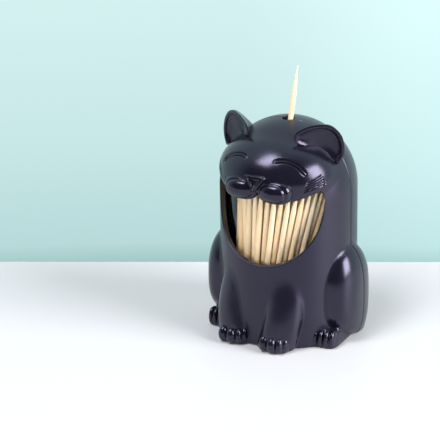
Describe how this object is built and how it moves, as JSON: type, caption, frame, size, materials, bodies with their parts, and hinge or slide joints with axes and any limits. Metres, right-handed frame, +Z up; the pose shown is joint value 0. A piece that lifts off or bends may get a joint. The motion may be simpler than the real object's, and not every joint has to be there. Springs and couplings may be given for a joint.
{
  "type": "toothpick dispenser",
  "caption": "Shaker toothpick dispenser shaped as a sitting black cat, its wide grin a window onto a clear cup of wooden toothpicks; one leaves by a hole in the crown.",
  "frame": {"origin": "on the table, in the middle of the base cap's underside, under the hole in the crown", "axes": "+Z up towards the hole in the crown, -Y out of the cat's face"},
  "size_m": [0.0668, 0.0643, 0.1095],
  "materials": {
    "black_plastic": "satin gloss",
    "base_plastic": "matte",
    "funnel_plastic": "satin",
    "clear_plastic": "clear",
    "ring_rubber": "matte",
    "toothpick_wood": "raw"
  },
  "bodies": {
    "base": {"base_cap": "base_plastic", "grip_ring": "ring_rubber", "clear_cup": "clear_plastic", "toothpick_01": "toothpick_wood", "toothpick_02": "toothpick_wood", "toothpick_03": "toothpick_wood", "toothpick_04": "toothpick_wood", "toothpick_05": "toothpick_wood", "toothpick_06": "toothpick_wood", "toothpick_07": "toothpick_wood", "toothpick_08": "toothpick_wood", "toothpick_09": "toothpick_wood", "toothpick_10": "toothpick_wood", "toothpick_11": "toothpick_wood", "toothpick_12": "toothpick_wood", "toothpick_13": "toothpick_wood", "toothpick_14": "toothpick_wood", "toothpick_15": "toothpick_wood", "toothpick_16": "toothpick_wood", "toothpick_17": "toothpick_wood", "toothpick_18": "toothpick_wood", "toothpick_19": "toothpick_wood", "toothpick_20": "toothpick_wood", "toothpick_21": "toothpick_wood", "toothpick_22": "toothpick_wood", "toothpick_23": "toothpick_wood", "toothpick_24": "toothpick_wood", "toothpick_25": "toothpick_wood", "toothpick_26": "toothpick_wood", "toothpick_27": "toothpick_wood", "toothpick_28": "toothpick_wood", "toothpick_29": "toothpick_wood", "toothpick_30": "toothpick_wood", "toothpick_31": "toothpick_wood", "toothpick_32": "toothpick_wood", "toothpick_33": "toothpick_wood", "toothpick_34": "toothpick_wood", "toothpick_35": "toothpick_wood", "toothpick_36": "toothpick_wood", "toothpick_37": "toothpick_wood", "toothpick_38": "toothpick_wood", "toothpick_39": "toothpick_wood", "toothpick_40": "toothpick_wood", "toothpick_41": "toothpick_wood", "toothpick_42": "toothpick_wood", "toothpick_43": "toothpick_wood", "toothpick_44": "toothpick_wood", "toothpick_45": "toothpick_wood", "toothpick_46": "toothpick_wood", "toothpick_47": "toothpick_wood", "toothpick_48": "toothpick_wood", "toothpick_49": "toothpick_wood", "toothpick_50": "toothpick_wood"},
    "cat": {"front_shell": "black_plastic", "rear_shell": "black_plastic", "throat_funnel": "funnel_plastic"},
    "toothpick": {"dispensed_toothpick": "toothpick_wood"}
  },
  "joints": [
    {"name": "cat_lift", "type": "slide", "parent": "base", "child": "cat", "axis": [0, 0, 1], "range_m": [0, 0.085]},
    {"name": "toothpick_draw", "type": "slide", "parent": "cat", "child": "toothpick", "axis": [0.1162, 0.0631, 0.9912], "range_m": [-0.036, 0.048]}
  ]
}
